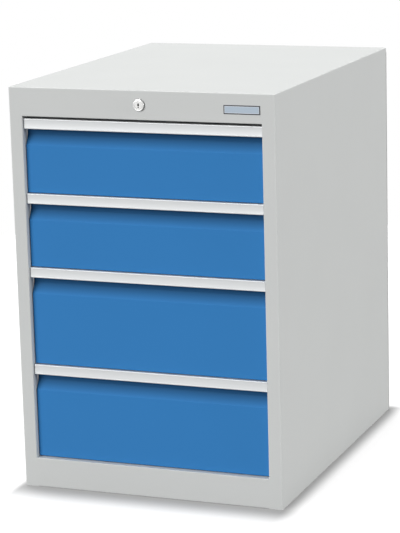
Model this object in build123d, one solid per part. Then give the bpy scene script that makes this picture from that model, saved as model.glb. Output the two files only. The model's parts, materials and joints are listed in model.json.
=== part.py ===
from build123d import *
import math
import os

# Industrial drawer cabinet. Millimetres. X runs to the right along the front, the fronts face -Y,
# Z is up, and the origin lies on the floor at the middle of the overall box.
# "Depth" below always means the distance behind the housing's front face.

# Housing
OPENING_WIDTH = 500
STILE_WIDTH = 27.5
HOUSING_DEPTH = 736
PLINTH_HEIGHT = 61
HEADER_HEIGHT = 58
MODULE_HEIGHTS = (150, 150, 200, 200)
SHEET = 1.5
SIDE_BEND = 3
EDGE_BEND = 2
TOP_PAN_HEIGHT = 10
RETURN_DEPTH = 18
REAR_FLANGE = 20
FLOOR_FLANGE = 15
REAR_SCREW_RADIUS = 2
REAR_SCREW_HEAD_RADIUS = 4.5
REAR_SCREW_HEAD = 1.5
REAR_SCREW_REACH = 4.5
REAR_SCREW_MARGIN = 90
REAR_SCREW_COUNT = 5
HOLE_CLEARANCE = 0.2
SCREW_SHORT = 0.2

# Corner posts
POST_WIDTH = 40
POST_BEND = 2.5
POST_START = 22
SLOT_PITCH = 25
SLOT_WIDTH = 4
SLOT_LENGTH = 12
SLOT_INSET = 8
POST_SCREW_INSET = 8
POST_RAIL_COVER = 30
RAIL_SCREW_RADIUS = 2.5
RAIL_SCREW_HEAD_RADIUS = 4.5
RAIL_SCREW_HEAD = 2.5
RAIL_SCREW_SPREAD = 18

# Full extension slides, three members on two sets of balls
RAIL_THICKNESS = 19
RAIL_HEIGHT = 48
RAIL_SHEET = 1.5
RAIL_BEND = 2
RAIL_START = 25
RAIL_REAR_ROOM = 101
RAIL_RISE = 40
TRAVEL = 600
RACE_GAP = 2.6
BALL_RADIUS = 2
BALL_CLEARANCE = 0.1
BALL_COUNT = 4
OUTER_FLANGE = 13
MIDDLE_WEB_GAP = 3.5
MIDDLE_LIP_GAP = 1
INNER_FLANGE = 9.5
OUTER_RACE_REACH = 9
INNER_RACE_REACH = 13
CAGE_SHEET = 0.8
CAGE_BEND = 1.2
CAGE_WEB_GAP = 1
CAGE_LIP = 2.5
CAGE_HOLE_CLEARANCE = 0.2
CAGE_END_GAP = 10
CAGE_END_COVER = 12

# Drawer box
BOX_REAR_ROOM = 99.5
BOX_SHEET = 1
BOX_FLOOR_GAP = 6
BOX_TOP_GAP = 12
HEM_HEIGHT = 6
WALL_SLOT_PITCH = 25
WALL_SLOT_WIDTH = 2.5
WALL_SLOT_MARGIN = 12
WALL_SLOT_RAIL_GAP = 8
WALL_SLOT_END = 90
WALL_SLOT_SIDE = 40

# Drawer front and handle strip
FRONT_SHEET = 1.2
FRONT_BEND = 2
FRONT_SIDE_GAP = 1.5
FRONT_BOTTOM_GAP = 1.5
FRONT_FACE = 10.5
GRIP_FACE = 21.5
FRONT_REAR = 24
FRONT_FLANGE = 26
GRIP_DROP = 13
GRIP_SLOPE = 21
HANDLE_TOP_GAP = 5
HANDLE_PANEL_GAP = 1
HANDLE_HEIGHT = 20.5
HANDLE_FACE = 4.5
HANDLE_LIP = 2
HANDLE_WEB = 2
HANDLE_LEG_DROP = 23
HANDLE_BEAD = 2.4
HANDLE_BEAD_PROUD = 0.5
HANDLE_EDGE = 1.2
FRONT_SCREW_RADIUS = 2.5
FRONT_SCREW_HEAD_RADIUS = 4.4
FRONT_SCREW_HEAD = 2.5
FRONT_SCREW_RISE = 10
FRONT_SCREW_DROP = 18
FRONT_SCREW_SHARES = (-0.78, -0.26, 0.26, 0.78)

# Central lock
LOCK_DROP = 28
LOCK_PROUD = 4
LOCK_DIAL_RADIUS = 11.5
LOCK_DIAL_EDGE = 0.8
LOCK_BODY_RADIUS = 9.3
LOCK_BODY_DEPTH = 26.7
LOCK_HEADER_CLEARANCE = 0.2
PLUG_RADIUS = 8
PLUG_CLEARANCE = 0.05
PLUG_RECESS = 0.3
KEYHOLE_HEIGHT = 7
KEYHOLE_WIDTH = 4
KEYHOLE_DOT_RADIUS = 1.4
KEYHOLE_DOT_DROP = 4.2
KEYHOLE_DEPTH = 6
NUT_FLATS = 24
NUT_HEIGHT = 5
NUT_CLEARANCE = 0.1
CAM_GAP = 0.3
CAM_THICKNESS = 3
CAM_RADIUS = 10
CAM_WIDTH = 13
CAM_SWING_DEGREES = 90
PIN_RADIUS = 2.5
PIN_PLAY = 0.6
CAM_SCREW_RADIUS = 2.5
CAM_SCREW_HEAD_RADIUS = 4.4
CAM_SCREW_HEAD = 2.6
CAM_SCREW_REACH = 12
CAM_SCREW_CLEARANCE = 0.1
LEVER_PIVOT_OUT = 125
LEVER_THICKNESS = 2.5
LEVER_WIDTH = 14
LEVER_GAP = 1.2
PIVOT_RADIUS = 4
PIVOT_CLEARANCE = 0.05
PIVOT_SIDE_GAP = 0.2
PIVOT_SHOULDER_RADIUS = 6
PIVOT_BASE_RADIUS = 9
PIVOT_BASE_HEIGHT = 2
PIVOT_HEAD_HEIGHT = 1.5
BAR_THICKNESS = 3
BAR_WIDTH = 12
BAR_GAP = 1.5
BAR_OUT = 10
BAR_END = 10
HOOK_HEIGHT = 14
HOOK_WALL_GAP = 7
HOOK_CATCH_PLAY = 1.5
HOOK_SLOT_PLAY = 2
GUIDE_CLEARANCE = 0.3
GUIDE_WALL = 2.5
GUIDE_HEIGHT = 12
GUIDE_GAP = 8
CATCH_RISE = 44
CATCH_SHEET = 2
CATCH_REACH = 12
CATCH_LENGTH = 20
CATCH_GAP = 1

# Badge plate, left bare
BADGE_WIDTH = 73.7
BADGE_HEIGHT = 17.3
BADGE_THICKNESS = 0.8
BADGE_CORNER = 1.2
BADGE_EDGE_GAP = 2.4
BADGE_DROP = 31.7

# How far a cutting shape runs past what it cuts
OVERRUN = 5

# Worked out from the sizes above
WIDTH = OPENING_WIDTH + 2 * STILE_WIDTH
HEIGHT = PLINTH_HEIGHT + sum(MODULE_HEIGHTS) + HEADER_HEIGHT
FRONT_Y = (LOCK_PROUD - HOUSING_DEPTH) / 2
OPENING_TOP = HEIGHT - HEADER_HEIGHT
OPENING_HALF = OPENING_WIDTH / 2
SIDE_TOP = HEIGHT - TOP_PAN_HEIGHT
REAR_PANEL_START = HOUSING_DEPTH - REAR_SCREW_HEAD - SHEET
FLOOR_TOP = PLINTH_HEIGHT - SHEET
RAIL_LENGTH = HOUSING_DEPTH - RAIL_START - RAIL_REAR_ROOM
RAIL_END = RAIL_START + RAIL_LENGTH
POST_REAR_START = RAIL_END - POST_RAIL_COVER
BOX_HALF = OPENING_HALF - RAIL_THICKNESS
BOX_FRONT = FRONT_REAR
BOX_DEPTH = HOUSING_DEPTH - BOX_FRONT - BOX_REAR_ROOM
FRONT_HALF = OPENING_HALF - FRONT_SIDE_GAP
LOCK_Z = HEIGHT - LOCK_DROP
CAM_START = LOCK_BODY_DEPTH + CAM_GAP
CAM_END = CAM_START + CAM_THICKNESS
LEVER_START = CAM_END + CAM_SCREW_HEAD + LEVER_GAP
LEVER_END = LEVER_START + LEVER_THICKNESS
BAR_START = LEVER_END + BAR_GAP
BAR_END_DEPTH = BAR_START + BAR_THICKNESS
CATCH_START = BAR_END_DEPTH + CATCH_GAP
BAR_X = -(OPENING_HALF + BAR_OUT)
CAM_REST = math.radians(CAM_SWING_DEGREES / 2)
CAM_PIN_X = -CAM_RADIUS * math.cos(CAM_REST)
CAM_PIN_Z = -CAM_RADIUS * math.sin(CAM_REST)
LEVER_TILT = math.atan(-CAM_PIN_Z / (LEVER_PIVOT_OUT + CAM_PIN_X))
BAR_ARM = -BAR_X - LEVER_PIVOT_OUT
BAR_LIFT = BAR_ARM * math.tan(LEVER_TILT)
BAR_TRAVEL = 2 * BAR_LIFT


def module_floors():
    """Height of each drawer module's lower edge, from the top drawer down."""
    floors = []
    level = OPENING_TOP
    for height in MODULE_HEIGHTS:
        level -= height
        floors.append(level)
    return floors


FLOORS = module_floors()


def block(x_span, depth_span, z_span):
    """Block between two widths, two depths and two heights."""
    x_low, x_high = x_span
    depth_low, depth_high = depth_span
    z_low, z_high = z_span
    centre = Pos((x_low + x_high) / 2, FRONT_Y + (depth_low + depth_high) / 2, (z_low + z_high) / 2)
    return centre * Box(x_high - x_low, depth_high - depth_low, z_high - z_low)


def rod(x, z, depth_span, radius):
    """Round bar along the depth."""
    depth_low, depth_high = depth_span
    centre = Pos(x, FRONT_Y + (depth_low + depth_high) / 2, z)
    return centre * Rot(90, 0, 0) * Cylinder(radius, depth_high - depth_low)


def cross_rod(x_span, depth, z, radius):
    """Round bar along the width."""
    x_low, x_high = x_span
    return Pos((x_low + x_high) / 2, FRONT_Y + depth, z) * Rot(0, 90, 0) * Cylinder(radius, x_high - x_low)


def folded(points, bends, thickness):
    """Section of a folded sheet, from its middle line and the radii of that line's bends."""
    return trace(FilletPolyline(*points, radius=bends), line_width=thickness)


def along_width(section, x_span):
    """Solid from a section drawn in depth and height, carried along the width."""
    x_low, x_high = x_span
    plane = Plane(origin=(x_low, FRONT_Y, 0), x_dir=(0, 1, 0), z_dir=(1, 0, 0))
    return extrude(plane * section, amount=x_high - x_low, dir=(1, 0, 0))


def along_depth(section, depth_span):
    """Solid from a section drawn in width and height, carried along the depth."""
    depth_low, depth_high = depth_span
    placed = Pos(0, FRONT_Y + depth_low, 0) * (Plane.XZ * section)
    return extrude(placed, amount=depth_high - depth_low, dir=(0, 1, 0))


def upright(section, z_span):
    """Solid from a section drawn in width and depth, carried upwards."""
    z_low, z_high = z_span
    return extrude(Pos(0, FRONT_Y, z_low) * section, amount=z_high - z_low, dir=(0, 0, 1))


def mirrored(shape):
    """The same piece for the other side."""
    return mirror(shape, about=Plane.YZ)


def both_sides(pieces):
    """Right-hand pieces with their left-hand twins."""
    return pieces + [mirrored(piece) for piece in pieces]


def pan_head_screw(x, z, head_span, shank_span, head_radius, radius):
    """Round head on a plain shank, along the depth."""
    return rod(x, z, head_span, head_radius) + rod(x, z, shank_span, radius)


# Housing


def rear_screw_places():
    """Middles of the rear panel's screws."""
    x = WIDTH / 2 - REAR_FLANGE / 2
    step = (SIDE_TOP - 2 * REAR_SCREW_MARGIN) / (REAR_SCREW_COUNT - 1)
    return [(side * x, REAR_SCREW_MARGIN + row * step) for side in (-1, 1) for row in range(REAR_SCREW_COUNT)]


def rear_screw_holes():
    """Clearance holes for the rear panel's screws."""
    span = (REAR_PANEL_START - SHEET - OVERRUN, HOUSING_DEPTH + OVERRUN)
    return [rod(x, z, span, REAR_SCREW_RADIUS + HOLE_CLEARANCE) for x, z in rear_screw_places()]


def side_panel():
    """Right side: rear flange, side, front stile, and a return where the drawers pass."""
    middle = SHEET / 2
    outer = WIDTH / 2 - middle
    rear = REAR_PANEL_START - middle
    reveal = OPENING_HALF + middle
    back_and_side = [(WIDTH / 2 - REAR_FLANGE, rear), (outer, rear), (outer, middle)]
    bend = SIDE_BEND - middle
    plain = folded(back_and_side + [(OPENING_HALF, middle)], [bend, bend], SHEET)
    with_return = folded(
        back_and_side + [(reveal, middle), (reveal, RETURN_DEPTH)],
        [bend, bend, EDGE_BEND - middle],
        SHEET,
    )
    panel = upright(plain, (0, PLINTH_HEIGHT))
    panel += upright(with_return, (PLINTH_HEIGHT, OPENING_TOP))
    panel += upright(plain, (OPENING_TOP, SIDE_TOP))
    return panel - rear_screw_holes()


def top_panel():
    """Shallow pan that closes the top, its rim flush with the sides and the header."""
    half = WIDTH / 2
    rear = HOUSING_DEPTH - REAR_SCREW_HEAD
    pan = block((-half, half), (0, rear), (SIDE_TOP, HEIGHT))
    pan = fillet(pan.edges().filter_by(Axis.Z), SIDE_BEND)
    pan = fillet(pan.faces().sort_by(Axis.Z)[-1].edges(), EDGE_BEND)
    hollow = block((SHEET - half, half - SHEET), (SHEET, rear - SHEET), (SIDE_TOP - OVERRUN, HEIGHT - SHEET))
    return pan - fillet(hollow.edges().filter_by(Axis.Z), SIDE_BEND - SHEET)


def front_header():
    """Sheet above the drawers, turned in along its lower edge."""
    middle = SHEET / 2
    points = [(middle, SIDE_TOP), (middle, OPENING_TOP + middle), (RETURN_DEPTH, OPENING_TOP + middle)]
    header = along_width(folded(points, [EDGE_BEND - middle], SHEET), (-OPENING_HALF, OPENING_HALF))
    hole = rod(0, LOCK_Z, (-OVERRUN, SHEET + OVERRUN), LOCK_BODY_RADIUS + LOCK_HEADER_CLEARANCE)
    return header - hole


def front_plinth():
    """Sheet below the drawers, turned in along both edges, standing on the floor."""
    middle = SHEET / 2
    top = PLINTH_HEIGHT - middle
    points = [(RETURN_DEPTH, middle), (middle, middle), (middle, top), (RETURN_DEPTH, top)]
    bend = EDGE_BEND - middle
    return along_width(folded(points, [bend, bend], SHEET), (-OPENING_HALF, OPENING_HALF))


def floor_panel():
    """Tray turned over, just under the lowest drawer."""
    half = WIDTH / 2 - SHEET
    rear = REAR_PANEL_START - SHEET
    low = FLOOR_TOP - FLOOR_FLANGE
    tray = block((-half, half), (SHEET, rear), (low, FLOOR_TOP))
    tray = fillet(tray.edges().filter_by(Axis.Z), SIDE_BEND)
    tray = fillet(tray.faces().sort_by(Axis.Z)[-1].edges(), EDGE_BEND)
    hollow = block(
        (SHEET - half, half - SHEET),
        (2 * SHEET, rear - SHEET),
        (low - OVERRUN, FLOOR_TOP - SHEET),
    )
    return tray - fillet(hollow.edges().filter_by(Axis.Z), SIDE_BEND - SHEET)


def rear_panel():
    """Flat sheet screwed onto the rear flanges."""
    half = WIDTH / 2
    panel = block((-half, half), (REAR_PANEL_START, REAR_PANEL_START + SHEET), (0, SIDE_TOP))
    return panel - rear_screw_holes()


def rear_panel_screws():
    """Low-headed screws of the rear panel."""
    outside = REAR_PANEL_START + SHEET
    head = (outside, outside + REAR_SCREW_HEAD)
    shank = (outside - SHEET - REAR_SCREW_REACH, outside)
    return [
        pan_head_screw(x, z, head, shank, REAR_SCREW_HEAD_RADIUS, REAR_SCREW_RADIUS)
        for x, z in rear_screw_places()
    ]


def rail_height(floor):
    """Height of a drawer's slides at their middle."""
    return floor + RAIL_RISE


def rail_screw_places(depth):
    """Depth and height of the screws that hold one side's slides to one post."""
    offset = RAIL_SCREW_SPREAD / 2
    return [(depth, rail_height(floor) + step) for floor in FLOORS for step in (-offset, offset)]


FRONT_SCREW_DEPTH = POST_START + POST_WIDTH - POST_SCREW_INSET
REAR_SCREW_DEPTH = POST_REAR_START + POST_SCREW_INSET


def rail_screw_holes(depth):
    """Holes through the post and the slide, right-hand side."""
    span = (OPENING_HALF - RAIL_SHEET - OVERRUN, OPENING_HALF + SHEET + OVERRUN)
    radius = RAIL_SCREW_RADIUS + HOLE_CLEARANCE
    return [cross_rod(span, place, z, radius) for place, z in rail_screw_places(depth)]


def corner_post(start, slot_depth, screw_depth):
    """Right-hand channel post with a column of slots and the slides' screw holes."""
    middle = SHEET / 2
    outer = WIDTH / 2 - SHEET
    near = start + middle
    far = start + POST_WIDTH - middle
    web = OPENING_HALF + middle
    bend = POST_BEND - middle
    section = folded([(outer, near), (web, near), (web, far), (outer, far)], [bend, bend], SHEET)
    post = upright(section, (FLOOR_TOP, HEIGHT - SHEET))
    count = int((OPENING_TOP - PLINTH_HEIGHT) / SLOT_PITCH) - 1
    width_span = (OPENING_HALF - OVERRUN, OPENING_HALF + SHEET + OVERRUN)
    depth_span = (slot_depth - SLOT_WIDTH / 2, slot_depth + SLOT_WIDTH / 2)
    slots = []
    for row in range(count):
        z = PLINTH_HEIGHT + (row + 1) * SLOT_PITCH
        slots.append(block(width_span, depth_span, (z - SLOT_LENGTH / 2, z + SLOT_LENGTH / 2)))
    return post - slots - rail_screw_holes(screw_depth)


def front_post():
    """Right-hand front post."""
    return corner_post(POST_START, POST_START + SLOT_INSET, FRONT_SCREW_DEPTH)


def rear_post():
    """Right-hand rear post."""
    return corner_post(POST_REAR_START, POST_REAR_START + POST_WIDTH - SLOT_INSET, REAR_SCREW_DEPTH)


def hook_floor(floor):
    """Lower edge of a drawer's hook with the lock open."""
    return floor + RAIL_RISE + CATCH_RISE + HOOK_HEIGHT + HOOK_CATCH_PLAY


def left_front_post():
    """Left front post, open where the lock's lever and hooks pass."""
    post = mirrored(front_post())
    web_span = (-OPENING_HALF - SHEET - OVERRUN, OVERRUN - OPENING_HALF)
    depth_span = (BAR_START - GUIDE_CLEARANCE - CATCH_GAP, CATCH_START)
    slots = []
    for floor in FLOORS:
        low = hook_floor(floor) - BAR_TRAVEL - HOOK_SLOT_PLAY
        high = hook_floor(floor) + HOOK_HEIGHT + HOOK_SLOT_PLAY
        slots.append(block(web_span, depth_span, (low, high)))
    notch_low = LOCK_Z - BAR_LIFT - LEVER_WIDTH
    notch = block(web_span, (POST_START + POST_BEND, BAR_END_DEPTH + OVERRUN), (notch_low, HEIGHT))
    return post - slots - notch


def rail_screws():
    """Screws from inside the posts into the fixed members of the slides."""
    inside = OPENING_HALF - RAIL_SHEET + SCREW_SHORT
    seat = OPENING_HALF + SHEET
    screws = []
    for depth in (FRONT_SCREW_DEPTH, REAR_SCREW_DEPTH):
        for place, z in rail_screw_places(depth):
            head = cross_rod((seat, seat + RAIL_SCREW_HEAD), place, z, RAIL_SCREW_HEAD_RADIUS)
            screws.append(head + cross_rod((inside, seat), place, z, RAIL_SCREW_RADIUS))
    return both_sides(screws)


def badge_plate():
    """Bare plate at the right end of the header."""
    right = OPENING_HALF - BADGE_EDGE_GAP
    middle = HEIGHT - BADGE_DROP
    plate = block(
        (right - BADGE_WIDTH, right),
        (-BADGE_THICKNESS, 0),
        (middle - BADGE_HEIGHT / 2, middle + BADGE_HEIGHT / 2),
    )
    return fillet(plate.edges().filter_by(Axis.Y), BADGE_CORNER)


# Slides, drawn on the right-hand side

HALF_RAIL = RAIL_HEIGHT / 2
OUTER_INSIDE = HALF_RAIL - RAIL_SHEET
OUTER_RACE_RISE = OUTER_INSIDE - RACE_GAP / 2
MIDDLE_OUTSIDE = OUTER_INSIDE - RACE_GAP
INNER_RACE_RISE = MIDDLE_OUTSIDE - RAIL_SHEET - RACE_GAP / 2
INNER_OUTSIDE = MIDDLE_OUTSIDE - RAIL_SHEET - RACE_GAP
MIDDLE_WEB = RAIL_SHEET + MIDDLE_WEB_GAP
CAGE_LENGTH = RAIL_LENGTH - TRAVEL / 2 - 2 * CAGE_END_GAP
CAGE_START = RAIL_START + (RAIL_LENGTH - CAGE_LENGTH) / 2


def channel(web_reach, lip_reach, rise, sheet, bend, z, depth_span):
    """Channel whose web and lips reach so far in from the post, about the height z."""
    line = rise - sheet / 2
    web_sign = 1 if lip_reach > web_reach else -1
    web_x = OPENING_HALF - web_reach - web_sign * sheet / 2
    lip_x = OPENING_HALF - lip_reach
    points = [(lip_x, z - line), (web_x, z - line), (web_x, z + line), (lip_x, z + line)]
    radius = bend - sheet / 2
    return along_depth(folded(points, [radius, radius], sheet), depth_span)


def race_grooves(reach, rise, z):
    """Round grooves for the balls of one race, above and below the height z."""
    span = (RAIL_START - OVERRUN, RAIL_END + OVERRUN)
    radius = BALL_RADIUS + BALL_CLEARANCE
    return [rod(OPENING_HALF - reach, z + step, span, radius) for step in (-rise, rise)]


def rail_fixed(z):
    """Member screwed to the posts."""
    member = channel(0, OUTER_FLANGE, HALF_RAIL, RAIL_SHEET, RAIL_BEND, z, (RAIL_START, RAIL_END))
    holes = []
    span = (OPENING_HALF - RAIL_SHEET - OVERRUN, OPENING_HALF + OVERRUN)
    radius = RAIL_SCREW_RADIUS + HOLE_CLEARANCE
    for depth in (FRONT_SCREW_DEPTH, REAR_SCREW_DEPTH):
        for step in (-RAIL_SCREW_SPREAD / 2, RAIL_SCREW_SPREAD / 2):
            holes.append(cross_rod(span, depth, z + step, radius))
    return member - race_grooves(OUTER_RACE_REACH, OUTER_RACE_RISE, z) - holes


def rail_middle(z):
    """Member that runs half as far as the drawer."""
    lip = RAIL_THICKNESS - RAIL_SHEET - MIDDLE_LIP_GAP
    member = channel(MIDDLE_WEB, lip, MIDDLE_OUTSIDE, RAIL_SHEET, RAIL_BEND, z, (RAIL_START, RAIL_END))
    member -= race_grooves(OUTER_RACE_REACH, OUTER_RACE_RISE, z)
    return member - race_grooves(INNER_RACE_REACH, INNER_RACE_RISE, z)


def rail_drawer(z):
    """Member fixed to the drawer's side."""
    span = (RAIL_START, RAIL_END)
    member = channel(RAIL_THICKNESS, INNER_FLANGE, INNER_OUTSIDE, RAIL_SHEET, RAIL_BEND, z, span)
    return member - race_grooves(INNER_RACE_REACH, INNER_RACE_RISE, z)


def ball_places(reach, rise, z):
    """Middles of one cage's balls."""
    first = CAGE_START + CAGE_END_COVER
    step = (CAGE_LENGTH - 2 * CAGE_END_COVER) / (BALL_COUNT - 1)
    x = OPENING_HALF - reach
    return [(x, first + ball * step, z + side * rise) for side in (-1, 1) for ball in range(BALL_COUNT)]


def cage_with_balls(web_reach, race_reach, race_rise, z):
    """Ball cage and its balls, as separate solids."""
    span = (CAGE_START, CAGE_START + CAGE_LENGTH)
    rise = race_rise + CAGE_SHEET / 2
    cage = channel(web_reach, race_reach + CAGE_LIP, rise, CAGE_SHEET, CAGE_BEND, z, span)
    places = ball_places(race_reach, race_rise, z)
    hole = BALL_RADIUS + CAGE_HOLE_CLEARANCE
    reach = BALL_RADIUS + CAGE_SHEET
    holes = [Pos(x, FRONT_Y + depth, height) * Cylinder(hole, reach) for x, depth, height in places]
    balls = [Pos(x, FRONT_Y + depth, height) * Sphere(BALL_RADIUS) for x, depth, height in places]
    return [cage - holes] + balls


def cage_outer(z):
    """Cage and balls between the fixed and the middle members."""
    return cage_with_balls(RAIL_SHEET + CAGE_WEB_GAP, OUTER_RACE_REACH, OUTER_RACE_RISE, z)


def cage_inner(z):
    """Cage and balls between the middle member and the drawer's own."""
    web = MIDDLE_WEB + RAIL_SHEET + CAGE_WEB_GAP
    return cage_with_balls(web, INNER_RACE_REACH, INNER_RACE_RISE, z)


# Drawers


def box_span(floor, height):
    """Heights of a drawer box's underside and rim."""
    return floor + BOX_FLOOR_GAP, floor + height - BOX_TOP_GAP


def front_floor(number, floor):
    """Lower edge of a drawer's front, just above the next strip or the plinth."""
    if number == len(MODULE_HEIGHTS):
        return floor + FRONT_BOTTOM_GAP
    return floor - HANDLE_TOP_GAP + HANDLE_PANEL_GAP


def wall_slots(floor, height):
    """Slots in the four walls that take the dividers."""
    rim = floor + height - BOX_TOP_GAP
    low = rail_height(floor) + HALF_RAIL + WALL_SLOT_RAIL_GAP
    z_span = (low, rim - WALL_SLOT_MARGIN)
    half = WALL_SLOT_WIDTH / 2
    slots = []
    across = int((BOX_HALF - WALL_SLOT_SIDE) / WALL_SLOT_PITCH)
    for column in range(-across, across + 1):
        x = column * WALL_SLOT_PITCH
        for wall in (BOX_FRONT + BOX_SHEET / 2, BOX_FRONT + BOX_DEPTH - BOX_SHEET / 2):
            slots.append(block((x - half, x + half), (wall - BOX_SHEET, wall + BOX_SHEET), z_span))
    along = int((BOX_DEPTH - 2 * WALL_SLOT_END) / WALL_SLOT_PITCH)
    for column in range(along + 1):
        depth = BOX_FRONT + WALL_SLOT_END + column * WALL_SLOT_PITCH
        for wall in (-BOX_HALF + BOX_SHEET / 2, BOX_HALF - BOX_SHEET / 2):
            slots.append(block((wall - BOX_SHEET, wall + BOX_SHEET), (depth - half, depth + half), z_span))
    return slots


def front_screw_places(floor, height):
    """Middles of the screws between a drawer's box and its front, upper row then lower row."""
    upper = floor + height - HANDLE_TOP_GAP - FRONT_SCREW_DROP
    lower = floor + BOX_FLOOR_GAP + FRONT_SCREW_RISE
    xs = [share * BOX_HALF for share in FRONT_SCREW_SHARES]
    return [(x, upper) for x in xs], [(x, lower) for x in xs]


def front_screw_holes(floor, height):
    """Clearance holes for the front's screws."""
    upper, lower = front_screw_places(floor, height)
    radius = FRONT_SCREW_RADIUS + HOLE_CLEARANCE
    span = (GRIP_FACE + FRONT_SHEET / 2, BOX_FRONT + BOX_SHEET + OVERRUN)
    return [rod(x, z, span, radius) for x, z in upper + lower]


def lock_catch(floor):
    """Angle on the drawer's left side that the lock's hook stands in front of."""
    low = floor + RAIL_RISE + CATCH_RISE
    z_span = (low, low + HOOK_HEIGHT)
    blade = block((-BOX_HALF - CATCH_REACH, -BOX_HALF), (CATCH_START, CATCH_START + CATCH_SHEET), z_span)
    foot = block((-BOX_HALF - CATCH_SHEET, -BOX_HALF), (CATCH_START, CATCH_START + CATCH_LENGTH), z_span)
    return blade + foot


def drawer_side(low, rim):
    """Right-hand wall of a drawer box, doubled along its rim."""
    depth_span = (BOX_FRONT, BOX_FRONT + BOX_DEPTH)
    wall = block((BOX_HALF - BOX_SHEET, BOX_HALF), depth_span, (low + BOX_SHEET, rim))
    return wall + block((BOX_HALF - 2 * BOX_SHEET, BOX_HALF), depth_span, (rim - HEM_HEIGHT, rim))


def drawer_end(outside, inward, low, rim):
    """Front or rear wall of a drawer box, between the side walls and their doubled rims."""
    wall_span = sorted((outside, outside + inward * BOX_SHEET))
    hem_span = sorted((outside, outside + 2 * inward * BOX_SHEET))
    wall_half = BOX_HALF - BOX_SHEET
    hem_half = BOX_HALF - 2 * BOX_SHEET
    wall = block((-wall_half, wall_half), wall_span, (low + BOX_SHEET, rim - HEM_HEIGHT))
    return wall + block((-hem_half, hem_half), hem_span, (rim - HEM_HEIGHT, rim))


def drawer_box(floor, height):
    """Floor and four slotted walls of a drawer, as separate sheets that are welded where they touch."""
    low, rim = box_span(floor, height)
    rear = BOX_FRONT + BOX_DEPTH
    bottom = block((-BOX_HALF, BOX_HALF), (BOX_FRONT, rear), (low, low + BOX_SHEET))
    right = drawer_side(low, rim) - wall_slots(floor, height)
    front = drawer_end(BOX_FRONT, 1, low, rim) - wall_slots(floor, height) - front_screw_holes(floor, height)
    back = drawer_end(rear, -1, low, rim) - wall_slots(floor, height)
    return [bottom, right, mirrored(right), front, back]


def drawer_front(number, floor, height):
    """Folded front: flat face, a stretch that leans back, a deep stretch under the strip, and closed ends."""
    low = front_floor(number, floor)
    strip_top = floor + height - HANDLE_TOP_GAP
    slope_top = strip_top - HANDLE_HEIGHT - GRIP_DROP
    slope_low = slope_top - GRIP_SLOPE
    top = strip_top - HANDLE_WEB
    middle = FRONT_SHEET / 2
    rear = FRONT_REAR - middle
    face = FRONT_FACE + middle
    grip = GRIP_FACE + middle
    points = [
        (rear, low + FRONT_FLANGE),
        (rear, low + middle),
        (face, low + middle),
        (face, slope_low),
        (grip, slope_top),
        (grip, top),
    ]
    bend = FRONT_BEND - middle
    sheet = along_width(folded(points, [bend, bend, bend, bend], FRONT_SHEET), (-FRONT_HALF, FRONT_HALF))
    leg_low = strip_top - HANDLE_LEG_DROP - HOLE_CLEARANCE
    end_points = [
        (face, low + middle),
        (face, slope_low),
        (grip, slope_top),
        (grip, leg_low + HANDLE_WEB),
        (GRIP_FACE + FRONT_SHEET, leg_low),
        (FRONT_REAR, leg_low),
        (FRONT_REAR, low + FRONT_FLANGE),
        (rear, low + middle),
    ]
    end = make_face(Polyline(*end_points, close=True))
    for x_span in ((-FRONT_HALF, FRONT_SHEET - FRONT_HALF), (FRONT_HALF - FRONT_SHEET, FRONT_HALF)):
        sheet += along_width(end, x_span)
    return sheet - front_screw_holes(floor, height)


def drawer_handle(floor, height):
    """Full width extruded strip with a finger gap behind its lip."""
    top = floor + height - HANDLE_TOP_GAP
    low = top - HANDLE_HEIGHT
    leg_start = GRIP_FACE + FRONT_SHEET
    width = (-FRONT_HALF, FRONT_HALF)
    lip_face = HANDLE_FACE + HANDLE_BEAD_PROUD
    lip = block(width, (lip_face, lip_face + HANDLE_LIP), (low, top))
    beads = [
        block(width, (HANDLE_FACE, lip_face + HANDLE_LIP), (low, low + HANDLE_BEAD)),
        block(width, (HANDLE_FACE, lip_face + HANDLE_LIP), (top - HANDLE_BEAD, top)),
    ]
    web = block(width, (HANDLE_FACE, FRONT_REAR), (top - HANDLE_WEB, top))
    leg = block(width, (leg_start, FRONT_REAR), (top - HANDLE_LEG_DROP, top))
    strip = lip + beads + web + leg
    edges = strip.edges().filter_by(Axis.X).group_by(Axis.Y)[0].sort_by(Axis.Z)
    strip = fillet([edges[0], edges[-1]], HANDLE_EDGE)
    return strip - front_screw_holes(floor, height)


def drawer_front_screws(floor, height):
    """Screws from inside the box into the strip's leg and the front's flange."""
    upper, lower = front_screw_places(floor, height)
    seat = BOX_FRONT + BOX_SHEET
    head = (seat, seat + FRONT_SCREW_HEAD)
    shank = (GRIP_FACE + FRONT_SHEET / 2 + SCREW_SHORT, seat)
    return [
        pan_head_screw(x, z, head, shank, FRONT_SCREW_HEAD_RADIUS, FRONT_SCREW_RADIUS)
        for x, z in upper + lower
    ]


# Central lock


def lock_barrel():
    """Fixed sleeve with the dial in front and a plain bore for the plug."""
    dial = rod(0, LOCK_Z, (-LOCK_PROUD, 0), LOCK_DIAL_RADIUS)
    dial = fillet(dial.edges().sort_by(Axis.Y)[0], LOCK_DIAL_EDGE)
    body = rod(0, LOCK_Z, (0, LOCK_BODY_DEPTH), LOCK_BODY_RADIUS)
    bore = rod(0, LOCK_Z, (-LOCK_PROUD - OVERRUN, LOCK_BODY_DEPTH + OVERRUN), PLUG_RADIUS + PLUG_CLEARANCE)
    return dial + body - bore


def keyhole():
    """Pointed slot with a small round hole below it."""
    front = PLUG_RECESS - LOCK_PROUD
    half = KEYHOLE_WIDTH / 2
    tip = LOCK_Z + KEYHOLE_HEIGHT - half
    wedge = make_face(Polyline((-half, LOCK_Z), (half, LOCK_Z), (0, tip), close=True))
    span = (front - OVERRUN, front + KEYHOLE_DEPTH)
    round_end = rod(0, LOCK_Z, span, half)
    dot = rod(0, LOCK_Z - KEYHOLE_DOT_DROP, span, KEYHOLE_DOT_RADIUS)
    return along_depth(wedge, span) + round_end + dot


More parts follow.
